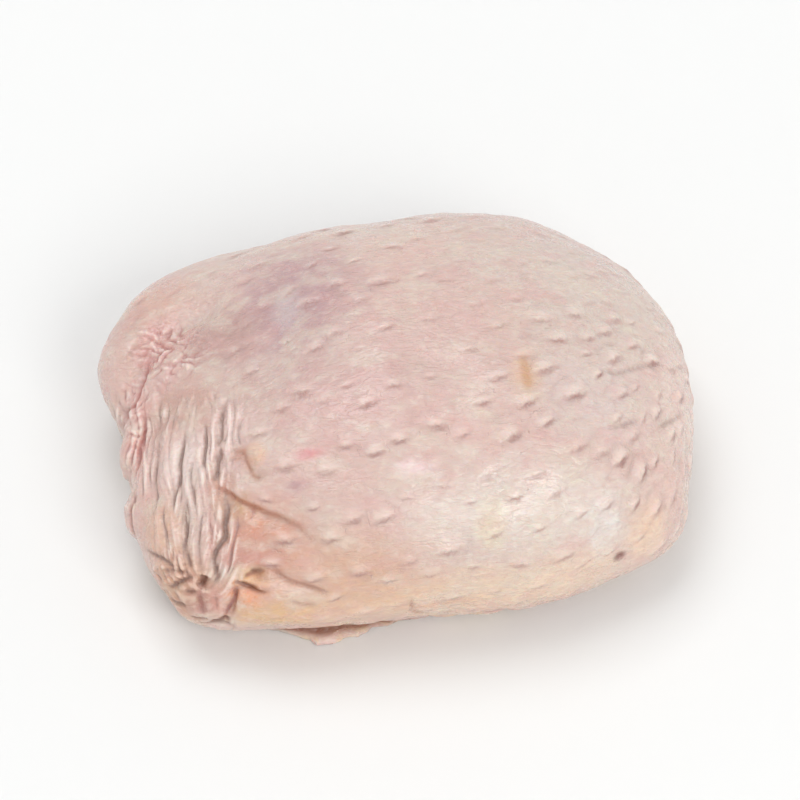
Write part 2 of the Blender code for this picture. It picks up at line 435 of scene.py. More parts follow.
def layered(points, layers, folded=False):
    """The sum of layers of noise. Folded ones are turned up where they go below 0, which makes creases."""
    total = np.zeros(len(points))
    for height, lumps in layers:
        values = noise_at(points, *lumps)
        total += height * (np.abs(values) if folded else values)
    return total


def raised(folds, height, contrast, level):
    """The relief of folded noise: its creases lie below the surface around them."""
    return height * (contrast * folds - level)


class Surface:
    """A mesh's points in millimetres: where they lie, which way they face and where the camera sees them."""

    def __init__(self, mesh):
        count = len(mesh.vertices)
        places = np.empty(count * 3)
        mesh.vertices.foreach_get("co", places)
        normals = np.empty(count * 3)
        mesh.vertex_normals.foreach_get("vector", normals)
        self.places = places.reshape(-1, 3) / MM
        self.normals = normals.reshape(-1, 3)
        self.across = self.places @ np.array(RIGHT)
        self.up = self.places @ np.array(UP)
        self.facing = self.normals @ np.array(TOWARDS)

    def move(self, mesh, heights):
        """Move the mesh's points along their normals by so many millimetres."""
        put_points(mesh, self.places + self.normals * heights[:, None])


def put_points(mesh, places):
    """Put a mesh's points at places in millimetres, but not below the ground."""
    lifted = places.copy()
    lifted[:, 2] = np.maximum(places[:, 2], 0.0)
    mesh.vertices.foreach_set("co", (lifted * MM).ravel())
    mesh.update()


def blurred(mesh, values, rounds):
    """Numbers at a mesh's points, each averaged with its neighbours' so many times."""
    ends = np.empty(2 * len(mesh.edges), dtype=np.int32)
    mesh.edges.foreach_get("vertices", ends)
    first, second = ends.reshape(-1, 2).T
    shares = np.bincount(ends, minlength=len(values)) + 1
    for _ in range(rounds):
        total = values + np.bincount(first, values[second], len(values))
        total += np.bincount(second, values[first], len(values))
        values = total / shares
    return values


def keep_attribute(mesh, name, values):
    """Store a number or a vector for each point of a mesh, for its material."""
    kind = "FLOAT_VECTOR" if values.ndim == 2 else "FLOAT"
    field = "vector" if values.ndim == 2 else "value"
    attribute = mesh.attributes.new(name, kind, "POINT")
    attribute.data.foreach_set(field, values.astype(np.float32).ravel())


def lay_flap(mesh):
    """Draw the flap forwards over the ground, and the thigh's edge above it back."""
    places = Surface(mesh).places
    x, y, z = places.T
    way = np.zeros(len(places))
    for middle, half_width, backwards in FLAP_MOVES:
        way += backwards * bell(x - middle, half_width) * smooth_step(*FLAP_TOP_SPAN, z)
    middle, half_width, backwards = EDGE_MOVE
    edge = smooth_step(*EDGE_FOOT_SPAN, z) * smooth_step(*EDGE_TOP_SPAN, z)
    way += backwards * bell(x - middle, half_width) * edge
    places[:, 1] += way * smooth_step(*FRONT_SPAN, y)
    put_points(mesh, places)


def make_base_skin():
    """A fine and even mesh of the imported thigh's shape, finer at the gathered end."""
    skin = add_to_scene("skin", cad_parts["thigh"].data.copy())
    skin.data.materials.clear()
    select_only(skin)
    bpy.ops.object.mode_set(mode="EDIT")
    bpy.ops.mesh.select_all(action="SELECT")
    bpy.ops.mesh.remove_doubles(threshold=MERGE_DISTANCE * MM)
    bpy.ops.mesh.tris_convert_to_quads()
    bpy.ops.object.mode_set(mode="OBJECT")
    apply_modifier(skin, "SUBSURF", levels=2, render_levels=2)
    apply_modifier(skin, "REMESH", mode="VOXEL", voxel_size=SKIN_MESH_STEP * MM)
    apply_modifier(skin, "SMOOTH", factor=SMOOTHING, iterations=SMOOTHING_ROUNDS)
    lay_flap(skin.data)

    surface = Surface(skin.data)
    fine = np.zeros(len(surface.places), dtype=bool)
    for across, up in FINE_PARTS:
        fine |= (surface.across < across) & (surface.up < up)
    fine &= surface.facing > FINE_FACING
    for polygon in skin.data.polygons:
        polygon.select = all(fine[index] for index in polygon.vertices)
    bpy.ops.object.mode_set(mode="EDIT")
    bpy.ops.mesh.select_mode(type="FACE")
    bpy.ops.mesh.subdivide(number_cuts=1, smoothness=0.0)
    bpy.ops.object.mode_set(mode="OBJECT")
    apply_modifier(skin, "SMOOTH", factor=SMOOTHING, iterations=FINE_SMOOTHING_ROUNDS)
    return skin


def tree_of(mesh):
    """A search tree of a mesh's faces, in metres."""
    form = bmesh.new()
    form.from_mesh(mesh)
    tree = BVHTree.FromBMesh(form)
    form.free()
    return tree


def rounded_line(places, step):
    """Points a step apart along a Catmull-Rom curve through a list of places."""
    places = [np.array(place) for place in places]
    places = [2 * places[0] - places[1]] + places + [2 * places[-1] - places[-2]]
    points = []
    for before, start, end, after in zip(places, places[1:], places[2:], places[3:]):
        count = max(int(np.linalg.norm(end - start) / step), 1)
        for share in np.arange(count) / count:
            points.append(0.5 * (2 * start + (end - before) * share
                                 + (2 * before - 5 * start + 4 * end - after) * share**2
                                 + (3 * start - before - 3 * end + after) * share**3))
    points.append(places[-2])
    return points


def on_skin(tree, place):
    """The point of the skin that the camera sees at an (across, up) place, or nearest to an (x, y, z) one."""
    if len(place) == 3:
        return np.array(tree.find_nearest(Vector(place) * MM)[0]) / MM
    flat = (RIGHT * place[0] + UP * place[1]) * MM
    hit = tree.ray_cast(flat + TOWARDS * (RAY_START * MM), -TOWARDS)[0]
    if hit is None:
        hit = tree.find_nearest(flat + TOWARDS * (MISS_HEIGHT * MM))[0]
    return np.array(hit) / MM


def line_on_skin(tree, places):
    """Points close together along a smooth curve through places on the skin."""
    return np.array([on_skin(tree, place) for place in rounded_line(places, CREASE_STEP)])


def distances_to(surface, line, reach):
    """The points of the surface near a line: their numbers, distances and nearest points of the line."""
    near = np.all((surface.places > line.min(0) - reach) & (surface.places < line.max(0) + reach), axis=1)
    numbers = np.flatnonzero(near)
    gaps = np.linalg.norm(surface.places[numbers][:, None, :] - line[None], axis=2)
    nearest = gaps.argmin(1)
    return numbers, gaps[np.arange(len(numbers)), nearest], nearest


def run_out(nearest, line, share, start):
    """1 along a line, falling towards 0 over a share of its length at each end."""
    ends = np.minimum(nearest, len(line) - 1 - nearest) / (share * len(line))
    return smooth_step(start, 1.0, ends)


def press_creases(surface, tree, creases):
    """How deep the creases press in at each point of the surface, and how strongly their painted shade darkens
    it.
    """
    cubes = np.zeros(len(surface.places))
    colours = np.zeros(len(surface.places))
    ragged = 1 + layered(surface.places, LINE_RAGGEDNESS)
    for places, depth, half_width, strength in creases:
        line = line_on_skin(tree, places)
        reach = half_width + PILLOW_REACH
        numbers, gaps, nearest = distances_to(surface, line, reach)
        fade = run_out(nearest, line, CREASE_RUN_OUT, CREASE_END)
        sides = np.clip(1 - gaps / reach, 0, 1) ** SIDE_STEEPNESS
        bottom = np.clip(1 - gaps / (BOTTOM_WIDTH * half_width), 0, 1) ** 2
        cubes[numbers] += (depth * fade * (SIDE_SHARE * sides + BOTTOM_SHARE * bottom)) ** 3
        colour = strength * fade * bell(gaps * ragged[numbers], LINE_WIDTH + LINE_WIDENING * half_width)
        colours[numbers] = np.maximum(colours[numbers], colour)
    return np.cbrt(cubes), colours


def press_flap_root(surface):
    """The groove between the thigh's front edge and the flap of skin under it: its depth and its painted
    shadow.
    """
    line = np.array(rounded_line(FLAP_ROOT, CREASE_STEP))
    numbers, gaps, nearest = distances_to(surface, line, GROOVE_REACH * FLAP_ROOT_WIDTH)
    fade = run_out(nearest, line, FLAP_ROOT_RUN_OUT, 0.0)
    depths = np.zeros(len(surface.places))
    depths[numbers] = FLAP_ROOT_DEPTH * fade * bell(gaps, FLAP_ROOT_WIDTH)
    colours = np.zeros(len(surface.places))
    colours[numbers] = fade * bell(gaps, FLAP_SHADOW_WIDTH)
    return depths, colours


def lay_tucks(surface, tree):
    """The steps where the skin lies over itself: heights, and the painted shade in their corners."""
    heights = np.zeros(len(surface.places))
    colours = np.zeros(len(surface.places))
    for places, drop, strength in TUCKS:
        line = line_on_skin(tree, places)
        numbers, gaps, nearest = distances_to(surface, line, GROOVE_REACH * TUCK_RECESS_WIDTH)
        outwards = np.array([tree.find_nearest(Vector(point) * MM)[1] for point in line.tolist()])
        beside = np.cross(np.gradient(line, axis=0), outwards)
        beside /= np.linalg.norm(beside, axis=1)[:, None]
        offsets = ((surface.places[numbers] - line[nearest]) * beside[nearest]).sum(1)
        share = nearest / len(line)
        fade = smooth_step(0.0, TUCK_START, share) * smooth_step(0.0, TUCK_RUN_OUT, 1 - share)
        recessed = smooth_step(-TUCK_STEP_HALF, TUCK_STEP_HALF, offsets) * bell(gaps, TUCK_RECESS_WIDTH)
        lip = np.clip(1 - gaps / TUCK_LIP, 0, 1)
        rounding = (1 - np.sqrt(1 - lip**2)) * smooth_step(TUCK_STEP_HALF, -TUCK_STEP_HALF, offsets)
        heights[numbers] -= fade * (drop * recessed + TUCK_LIP_DROP * rounding)
        corner = bell(offsets - CORNER_SHIFT, CORNER_WIDTH) * bell(gaps, CORNER_REACH)
        colours[numbers] += strength * fade * corner
    return heights, np.minimum(colours, 1.0)


def gather_ridges(surface):
    """Ridges that flow down the left end and into the pinch, like water into a drain: 0 in their valleys."""
    beside = surface.across - PINCH[0] + layered(surface.places, RIDGE_WANDER)
    above = surface.up - PINCH[1]
    turn = np.arctan2(beside, above)
    stream = (beside + PINCH_PULL * turn) / RIDGE_WIDTH
    along = np.hypot(beside, above) / RIDGE_LENGTH
    ridges = layered(np.stack([stream, along, along], axis=1), RIDGE_LAYERS, folded=True)
    return ridges * smooth_step(math.pi, math.pi - RIDGE_GAP, np.abs(turn))


def crumple(surface, seen):
    """The crumpled patches: heights, how crumpled each point is, and how flushed its hollows are."""
    places = surface.places
    crumpled = np.zeros(len(places))
    flushed = np.zeros(len(places))
    for middle, reach, strength, redness in CRUMPLES:
        gap = np.hypot((surface.across - middle[0]) / reach[0], (surface.up - middle[1]) / reach[1])
        here = strength * smooth_step(*CRUMPLE_EDGE_SPAN, gap) * seen
        crumpled = np.maximum(crumpled, here)
        flushed = np.maximum(flushed, redness * here)
    warp = np.stack([noise_at(places, WARP_SIZE, shift) for shift in WARP_SHIFTS], axis=1)
    lean = np.array([[1.0, CRUMPLE_LEAN, 0.0], [-CRUMPLE_LEAN, 1.0, 0.0], [0.0, 0.0, 1.0]])
    crumples = layered((places + WARP_REACH * warp) @ lean, CRUMPLE_LAYERS, folded=True)
    return crumpled * raised(crumples, *CRUMPLE_RELIEF), crumpled, flushed


def pleat_foot(surface):
    """The low folds round the thigh's foot: heights, how far each point is in them, and how far behind."""
    places = surface.places
    x, y, z = places.T
    side = smooth_step(*FOOT_SIDE_SPAN, surface.normals[:, 2])
    behind = smooth_step(*BEHIND_SPAN, y + BEHIND_TURN * np.maximum(x, 0.0))
    top = FOOT_HEIGHT + FOOT_EXTRA_BEHIND * behind + layered(places, FOOT_WANDER)
    low = smooth_step(top, top - FOOT_FADE, z) * side
    pleats = raised(layered(places, PLEAT_LAYERS, folded=True), *PLEAT_RELIEF)
    heights = low * (between((PLEAT_LEAST, 1.0), behind) * pleats + layered(places, FAT_LUMPS))
    return heights, low, low * behind


def follicle_rings():
    """Each ring of follicles, from end to end: how far along the skin it is from the thigh's middle, and how
    far it is in the dense part."""
    end = FOLLICLE_AXIS_HALF + FOLLICLE_END_RADIUS * math.pi / 2
    along = -end
    while along < end:
        dense = smooth_step(*DENSE_RING_SPAN, along)
        yield along, dense
        along += between(RING_STEP, dense)


def ring_ray(along, turn):
    """Where a ring's ray starts on the thigh's inner axis and its direction, at a turn up from the front."""
    beyond = max(abs(along) - FOLLICLE_AXIS_HALF, 0.0) * math.copysign(1.0, along)
    tilt = beyond / FOLLICLE_END_RADIUS
    start = Vector(((along - beyond) * MM, 0.0, FOLLICLE_AXIS_HEIGHT * MM))
    direction = Vector((math.sin(tilt), -math.cos(tilt) * math.cos(turn), math.cos(tilt) * math.sin(turn)))
    return start, direction


def follicle_places(tree):
    """Where the follicles sit on the skin: each one's place, outward direction and row direction."""
    draws = random.Random(PLACE_SEED)
    found = []
    for number, (along, dense) in enumerate(follicle_rings()):
        row_step = between(ROW_STEP, dense)
        to_go = row_step * STAGGER[number % 2]
        last = None
        for degrees in RING_ARC:
            hit, normal = tree.ray_cast(*ring_ray(along, math.radians(degrees)))[:2]
            if hit is None:
                continue
            if last is not None:
                to_go -= (hit - last).length / MM
            last = hit
            if to_go > 0:
                continue
            to_go += row_step * draws.uniform(*STEP_DRAW)
            ahead = tree.ray_cast(*ring_ray(along + 1.0, math.radians(degrees)))[0] or hit
            row = ahead - hit
            row -= normal * row.dot(normal)
            row.normalize()
            aside = normal.cross(row)
            place = hit + row * draws.uniform(*AHEAD_DRAW) * MM + aside * draws.uniform(*ASIDE_DRAW) * MM
            found.append((np.array(place) / MM, np.array(normal), np.array(row)))
    return found


def kept_follicles(tree):
    """The follicles far enough apart: place, directions ahead along the mark and above it, strength, size."""
    draws = random.Random(MARK_SEED)
    kept = []
    for place, normal, row in follicle_places(tree):
        right_end = smooth_step(*RIGHT_END_SPAN, place[0])
        gap = between(FOLLICLE_GAP, right_end)
        if any(np.linalg.norm(place - other[0]) < gap for other in kept):
            continue
        slant = math.radians(SLANT[0] + SLANT[1] * right_end + draws.uniform(*SLANT_DRAW))
        strength = draws.uniform(*STRENGTH_DRAW) * (STRENGTH[0] + STRENGTH[1] * right_end)
        for weaker, spans in WEAKER_MARKS:
            for axis, span in spans.items():
                weaker *= smooth_step(*span, place[axis])
            strength *= 1 - weaker
        gathered = smooth_step(*NO_MARKS_ACROSS_SPAN, place @ np.array(RIGHT))
        gathered *= smooth_step(*NO_MARKS_UP_SPAN, place @ np.array(UP))
        size = draws.uniform(*SIZE_DRAW) * (MARK_SIZE[0] + MARK_SIZE[1] * right_end)
        ahead = row * math.cos(slant) + np.cross(normal, row) * math.sin(slant)
        above = np.cross(normal, ahead)
        if normal[1] > BACKWARD_FACING:
            above = -above
        kept.append((place, ahead, above, strength * (1 - gathered), size))
    return kept


def raise_follicles(surface, tree):
    """Small bumps with a dip under their lower side and a net of wrinkles between them: the heights, and
    each point's place along and above its nearest follicle's mark with the mark's strength there."""
    follicles = kept_follicles(tree)
    finder = KDTree(len(follicles))
    for number, follicle in enumerate(follicles):
        finder.insert(follicle[0], number)
    finder.balance()
    count = len(surface.places)
    nearest = np.zeros(count, dtype=int)
    border = np.zeros(count)
    for number, point in enumerate(surface.places.tolist()):
        closest, next_one = finder.find_n(point, 2)
        nearest[number] = closest[1]
        border[number] = next_one[2] - closest[2]
    place, ahead, upwards, strength, size = [np.array(column)[nearest] for column in zip(*follicles)]
    offsets = surface.places - place
    along = (offsets * ahead).sum(1) / size
    above = (offsets * upwards).sum(1) / size
    fade = smooth_step(*MARK_BORDER_SPAN, border) * smooth_step(*MARK_REACH_SPAN, np.hypot(along, above))
    weight = strength * fade
    curve = above - MARK_BEND * along**2
    bump = np.where(curve > 0, bell(curve, BUMP_ABOVE), bell(curve, BUMP_BELOW)) * bell(along, BUMP_ALONG)
    dip = DIP_DEPTH * bell(curve + DIP_BELOW, DIP_WIDTH) * bell(along, DIP_ALONG)
    net_depth = between(NET_DEPTH, smooth_step(*NET_DENSE_SPAN, surface.places[:, 0]))
    ragged = border + layered(surface.places, NET_RAGGEDNESS)
    unbroken = smooth_step(*NET_BREAK_SPAN, noise_at(surface.places, *NET_BREAK_NOISE))
    net = smooth_step(*NET_WIDTH_SPAN, ragged) * strength * unbroken
    heights = FOLLICLE_HEIGHT * weight * size * (bump - dip) - net_depth * net
    return heights, np.stack([along, above, weight], axis=1)


def shape_skin(skin):
    """Press and raise the folds, creases, wrinkles and follicles of the skin, and keep their masks."""
    mesh = skin.data
    surface = Surface(mesh)
    tree = tree_of(mesh)
    places = surface.places
    seen = smooth_step(*SEEN_SPAN, surface.facing)
    heights = layered(places, UNEVENNESS)
    for middle, height, radius in SWELLINGS:
        heights += height * bell(np.linalg.norm(places - middle, axis=1), radius)

    depths, colours = zip(*[press_creases(surface, tree, creases) for creases in SEEN_CREASES])
    # The creases' colours are painted shade in their bottoms.
    grey, red, orange, dark = [colour * seen for colour in colours]
    depth = np.cbrt(sum(depth**3 for depth in depths)) * seen
    hidden_depth, hidden = press_creases(surface, tree, HIDDEN_CREASES)
    tuck_heights, tuck_shade = lay_tucks(surface, tree)
    root_depth, root_shadow = press_flap_root(surface)
    heights += tuck_heights - depth - hidden_depth - root_depth
    heights += smooth_step(*HIDDEN_SPAN, surface.facing) * layered(places, HIDDEN_LUMPS)

    gathered = smooth_step(*GATHERED_ACROSS_SPAN, surface.across)
    gathered *= smooth_step(*GATHERED_UP_SPAN, surface.up) * seen
    uneven = between((UNEVEN_LEAST, 1.0), smooth_step(*UNEVEN_SPAN, noise_at(places, *UNEVEN_NOISE)))
    heights += gathered * uneven * raised(gather_ridges(surface), *RIDGE_RELIEF)
    crumple_heights, crumpled, flushed = crumple(surface, seen)
    pleat_heights, low, low_behind = pleat_foot(surface)
    follicle_heights, marks = raise_follicles(surface, tree)
    heights += crumple_heights + pleat_heights + follicle_heights + layered(places, GRAIN) * (1 - gathered)

    surface.move(mesh, heights)
    relief = np.clip((heights - blurred(mesh, heights, RELIEF_ROUNDS)) / RELIEF_RANGE, -1, 1)
    red = np.maximum(red, hidden)
    # The flap groove's painted shadow goes in with the orange and the dark creases.
    orange = np.maximum(np.maximum(orange, tuck_shade), root_shadow)
    dark = np.maximum(dark, FLAP_SHADOW_DARKNESS * root_shadow)
    keep_attribute(mesh, "crease", np.stack([grey, red, orange], axis=1))
    keep_attribute(mesh, "fold", np.stack([np.maximum(gathered, crumpled), flushed, dark], axis=1))
    keep_attribute(mesh, "relief", np.stack([relief, low, low_behind], axis=1))
    keep_attribute(mesh, "mark", marks)
    mesh.shade_smooth()


def opening_distance(places):
    """0 in the middle of the skin's opening underneath and 1 at its ragged edge."""
    flat = places * np.array([1.0, 1.0, 0.0])
    beside = (places[:, 0] - OPENING_MIDDLE[0]) / OPENING_HALF[0]
    behind = (places[:, 1] - OPENING_MIDDLE[1]) / OPENING_HALF[1]
    return np.hypot(beside, behind) + layered(flat, OPENING_EDGE)


def open_skin(skin):
    """Recess the skin inside its edge underneath and return the meat that fills the recess."""
    mesh = skin.data
    surface = Surface(mesh)
    distance = opening_distance(surface.places)
    under = smooth_step(*UNDER_FACING_SPAN, surface.normals[:, 2])
    under *= smooth_step(*UNDER_HEIGHT_SPAN, surface.places[:, 2])

    meat = add_to_scene("meat", mesh.copy())
    kept = (distance < MEAT_EDGE) & (under > UNDER_FOR_MEAT)
    form = bmesh.new()
    form.from_mesh(meat.data)
    form.verts.ensure_lookup_table()
    unwanted = [vertex for vertex in form.verts if not kept[vertex.index]]
    bmesh.ops.delete(form, geom=unwanted, context="VERTS")
    loose = [vertex for vertex in form.verts if not vertex.link_faces]
    bmesh.ops.delete(form, geom=loose, context="VERTS")
    form.to_mesh(meat.data)
    form.free()
    for name in ("crease", "fold", "relief", "mark"):
        meat.data.attributes.remove(meat.data.attributes[name])

    places = surface.places.copy()
    places[:, 2] += SKIN_THICKNESS * under * smooth_step(*RECESS_SPAN, distance)
    mesh.vertices.foreach_set("co", (places * MM).ravel())
    select_only(skin)
    bpy.ops.object.mode_set(mode="EDIT")
    bpy.ops.mesh.select_mode(type="VERT")
    bpy.ops.mesh.select_all(action="DESELECT")
    bpy.ops.object.mode_set(mode="OBJECT")
    on_ground = (distance > GROUND_EDGE) & (surface.places[:, 2] < GROUND_HEIGHT)
    thinned = ((distance < COVERED_EDGE) | on_ground) & (under > UNDER_FOR_THINNING)
    mesh.vertices.foreach_set("select", thinned)
    bpy.ops.object.mode_set(mode="EDIT")
    bpy.ops.mesh.decimate(ratio=UNDERSIDE_DECIMATION)
    bpy.ops.object.mode_set(mode="OBJECT")
    put_points(mesh, Surface(mesh).places)
    return meat


def shape_meat(meat):
    """Fibres, seams and a sunken rim of the bare meat, then its thickness."""
    mesh = meat.data
    surface = Surface(mesh)
    fibres = noise_at(surface.places, *FIBRE_NOISE)
    seams = np.abs(noise_at(surface.places, *SEAM_NOISE))
    inward = MEAT_RIM_DEPTH * smooth_step(*MEAT_RIM_SPAN, opening_distance(surface.places))
    inward += FIBRE_DEPTH * (fibres + 1) + SEAM_DEPTH * smooth_step(*SEAM_SPAN, seams)
    surface.move(mesh, -inward)
    keep_attribute(mesh, "seam", smooth_step(*SEAM_COLOUR_SPAN, seams))
    apply_modifier(meat, "SOLIDIFY", thickness=MEAT_THICKNESS * MM, offset=-1.0)
    mesh.shade_smooth()


def make_camera():
    """The camera at the photograph's angle, looking at the middle of the thigh."""
    camera = add_to_scene("camera", bpy.data.cameras.new("camera"))
    camera.data.lens = CAMERA_LENS
    camera.location = MIDDLE + TOWARDS * CAMERA_DISTANCE
    camera.rotation_euler = TOWARDS.to_track_quat("Z", "Y").to_euler()
    bpy.context.scene.camera = camera


def make_floor():
    """A pale round floor that curves up into a backdrop on all sides."""
    bpy.ops.object.select_all(action="DESELECT")
    bpy.ops.mesh.primitive_circle_add(vertices=96, radius=FLOOR_RADIUS, fill_type="NGON")
    floor = bpy.context.active_object
    floor.name = "floor"
    form = bmesh.new()
    form.from_mesh(floor.data)
    rim = [edge for edge in form.edges if edge.is_boundary]
    for step in range(1, BACKDROP_STEPS + 1):
        turn = step / BACKDROP_STEPS * math.pi / 2
        radius = FLOOR_RADIUS + (BACKDROP_RADIUS - FLOOR_RADIUS) * math.sin(turn)
        height = BACKDROP_HEIGHT * (1 - math.cos(turn))
        fresh = bmesh.ops.extrude_edge_only(form, edges=rim)["geom"]
        for vertex in [item for item in fresh if isinstance(item, bmesh.types.BMVert)]:
            flat = Vector((vertex.co.x, vertex.co.y, 0.0)).normalized() * radius
            vertex.co = Vector((flat.x, flat.y, height))
        rim = [item for item in fresh if isinstance(item, bmesh.types.BMEdge) and item.is_boundary]
    bmesh.ops.recalc_face_normals(form, faces=form.faces)
    form.to_mesh(floor.data)
    form.free()
    floor.data.shade_smooth()
    material = bpy.data.materials.new("pale_floor")
    material.use_nodes = True
    shader = material.node_tree.nodes["Principled BSDF"]
    shader.inputs["Base Color"].default_value = FLOOR_COLOUR
    shader.inputs["Roughness"].default_value = FLOOR_ROUGHNESS
    floor.data.materials.append(material)


def make_studio():
    """Plain soft light: a pale sky, and square lamps that shine on the thigh."""
    scene = bpy.context.scene
    scene.world = bpy.data.worlds.new("studio")
    scene.world.use_nodes = True
    background = scene.world.node_tree.nodes["Background"]
    background.inputs["Color"].default_value = SKY_COLOUR
    background.inputs["Strength"].default_value = SKY_STRENGTH
    for name, place, side, power, colour in LAMPS:
        lamp = add_to_scene(name, bpy.data.lights.new(name, "AREA"))
        lamp.data.size = side
        lamp.data.energy = power
        lamp.data.color = colour
        lamp.location = place
        lamp.rotation_euler = (Vector(place) - MIDDLE).to_track_quat("Z", "Y").to_euler()
    scene.view_settings.view_transform = "Standard"


class Tree:
    """Adds and joins the nodes of a material or of a node group."""

    def __init__(self, tree):
        self.tree = tree

    def add(self, kind, **settings):
        """A new node with these settings."""
        node = self.tree.nodes.new(kind)
        for name, value in settings.items():
            setattr(node, name, value)
        return node

    def feed(self, socket, value):
        """Join an output to an input socket, or set the socket to a plain value."""
        if isinstance(value, bpy.types.NodeSocket):
            self.tree.links.new(value, socket)
        elif isinstance(value, tuple) and len(value) == 3 and socket.type == "RGBA":
            socket.default_value = (*value, 1.0)
        else:
            socket.default_value = value

    def math(self, operation, *values):
        """A Math node's output."""
        node = self.add("ShaderNodeMath", operation=operation)
        for socket, value in zip(node.inputs, values):
            self.feed(socket, value)
        return node.outputs[0]

    def plus(self, first, second):
        """The sum of two values."""
        return self.math("ADD", first, second)

    def minus(self, first, second):
        """The first value less the second."""
        return self.math("SUBTRACT", first, second)

    def times(self, first, *others):
        """The product of the values."""
        for other in others:
            first = self.math("MULTIPLY", first, other)
        return first

    def vector(self, operation, *values):
        """A Vector Math node's output."""
        node = self.add("ShaderNodeVectorMath", operation=operation)
        for socket, value in zip(node.inputs, values):
            self.feed(socket, value)
        return node.outputs["Value" if operation == "LENGTH" else "Vector"]

    def ramp(self, value, low, high, to_low=0.0, to_high=1.0):
        """A value carried smoothly from one range to another."""
        node = self.add("ShaderNodeMapRange", interpolation_type="SMOOTHSTEP")
        for name, number in (("Value", value), ("From Min", low), ("From Max", high),
                             ("To Min", to_low), ("To Max", to_high)):
            self.feed(node.inputs[name], number)
        return node.outputs["Result"]

    def tint(self, colour, tint, *shares, blend="MIX"):
        """A colour carried towards a tint by the product of some shares."""
        node = self.add("ShaderNodeMix", data_type="RGBA", blend_type=blend)
        self.feed(node.inputs[0], self.times(*shares))
        self.feed(node.inputs[6], colour)
        self.feed(node.inputs[7], tint)
        return node.outputs[2]

    def stretch(self, vector, sizes):
        """Coordinates divided by a size along each axis."""
        node = self.add("ShaderNodeMapping")
        self.feed(node.inputs["Vector"], vector)
        self.feed(node.inputs["Scale"], tuple(1 / size for size in sizes))
        return node.outputs["Vector"]

    def noise(self, place, sizes, detail=3.0, distortion=0.0):
        """Noise from 0 to 1 with lumps of a size along each axis."""
        node = self.add("ShaderNodeTexNoise")
        for name, value in (("Vector", self.stretch(place, sizes)), ("Scale", 1.0), ("Detail", detail),
                            ("Distortion", distortion)):
            self.feed(node.inputs[name], value)
        return node.outputs["Fac"]

    def attribute(self, name):
        """The three numbers kept for each point under a name."""
        node = self.add("ShaderNodeAttribute", attribute_name=name)
        split = self.add("ShaderNodeSeparateXYZ")
        self.feed(split.inputs[0], node.outputs["Vector"])
        return split.outputs

    def group(self, name, **values):
        """The outputs of a node group placed with these values."""
        node = self.add("ShaderNodeGroup", node_tree=bpy.data.node_groups[name])
        for socket, value in values.items():
            self.feed(node.inputs[socket], value)
        return node.outputs


def new_group(name, inputs, outputs):
    """An empty node group with its named sockets: its Tree, its input values and its output sockets."""
    group = bpy.data.node_groups.new(name, "ShaderNodeTree")
    for side, names in (("INPUT", inputs), ("OUTPUT", outputs)):
        for socket in names:
            kind = "NodeSocketVector" if socket in ("Place", "Middle", "Reach") else "NodeSocketFloat"
            group.interface.new_socket(socket, in_out=side, socket_type=kind)
    tree = Tree(group)
    return tree, tree.add("NodeGroupInput").outputs, tree.add("NodeGroupOutput").inputs


# A soft patch: the lumps in its edge, and where it starts and is full, in shares of its reach.
PATCH_LUMPS = (3.2, 3.2, 3.2)
PATCH_SPAN = (1.25, 0.25)


def make_patch_group():
    """A soft, ragged patch: its mask is 1 round its middle and 0 beyond its reach."""
    tree, given, put = new_group("soft patch", ["Place", "Middle", "Reach", "Raggedness"], ["Mask"])
    offset = tree.vector("DIVIDE", tree.vector("SUBTRACT", given["Place"], given["Middle"]), given["Reach"])
    lumps = tree.noise(given["Place"], PATCH_LUMPS)
    ragged = tree.times(tree.minus(lumps, 0.5), given["Raggedness"])
    distance = tree.plus(tree.vector("LENGTH", offset), ragged)
    tree.feed(put["Mask"], tree.ramp(distance, *PATCH_SPAN))


# The grain's thin wrinkles and low lumps, and the shares of both in its height and in its tone.
WRINKLE_SIZES = (3.0, 1.3, 1.3)
WRINKLE_WIDTH = 0.14
LUMP_SIZES = (1.5, 0.9, 0.9)
GRAIN_SHARES = [(0.4, 1.8), (0.15, 0.8)]


def make_grain_group():
    """The fine relief and tone of a moist soft surface: low lumps and thin wrinkles, drawn out one way."""
    tree, given, put = new_group("fine grain", ["Place", "Depth"], ["Height", "Tone"])
    lines = tree.noise(given["Place"], WRINKLE_SIZES, detail=1.0, distortion=0.5)
    wrinkle = tree.ramp(tree.math("ABSOLUTE", tree.minus(lines, 0.5)), 0.0, WRINKLE_WIDTH)
    lumps = tree.noise(given["Place"], LUMP_SIZES)
    height, tone = [tree.plus(tree.times(wrinkle, wrinkle_share), tree.times(lumps, lump_share))
                    for wrinkle_share, lump_share in GRAIN_SHARES]
    tree.feed(put["Height"], tree.times(height, given["Depth"]))
    tree.feed(put["Tone"], tone)


# The moist film: size and share of its broad and small patches, and where they go from wet to dry.
FILM_PATCHES = [((9.0, 9.0, 9.0), 0.6), ((1.3, 1.3, 1.3), 0.4)]
FILM_SPAN = (0.36, 0.62)


def make_film_group():
    """The moist film: roughness from nearly dry to wet in uneven patches."""
    tree, given, put = new_group("moist film", ["Place", "Wettest", "Driest"], ["Roughness"])
    broad, small = [tree.times(tree.noise(given["Place"], sizes, detail=2.0), share)
                    for sizes, share in FILM_PATCHES]
    film = tree.ramp(tree.plus(broad, small), *FILM_SPAN, given["Wettest"], given["Driest"])
    tree.feed(put["Roughness"], film)


# A follicle's mark: how its line wanders, and the middle and half width of the painted shadow under its lip
# and of the painted highlight on its top, above that line and along it.
MARK_WANDER = 1.3
MARK_WANDER_SIZES = (1.1, 1.1, 1.1)
LIP = ((-0.55, 0.42), (0.1, 1.7))
TOP = ((0.6, 0.85), (0.0, 1.3))
TOP_HEIGHT = 0.7


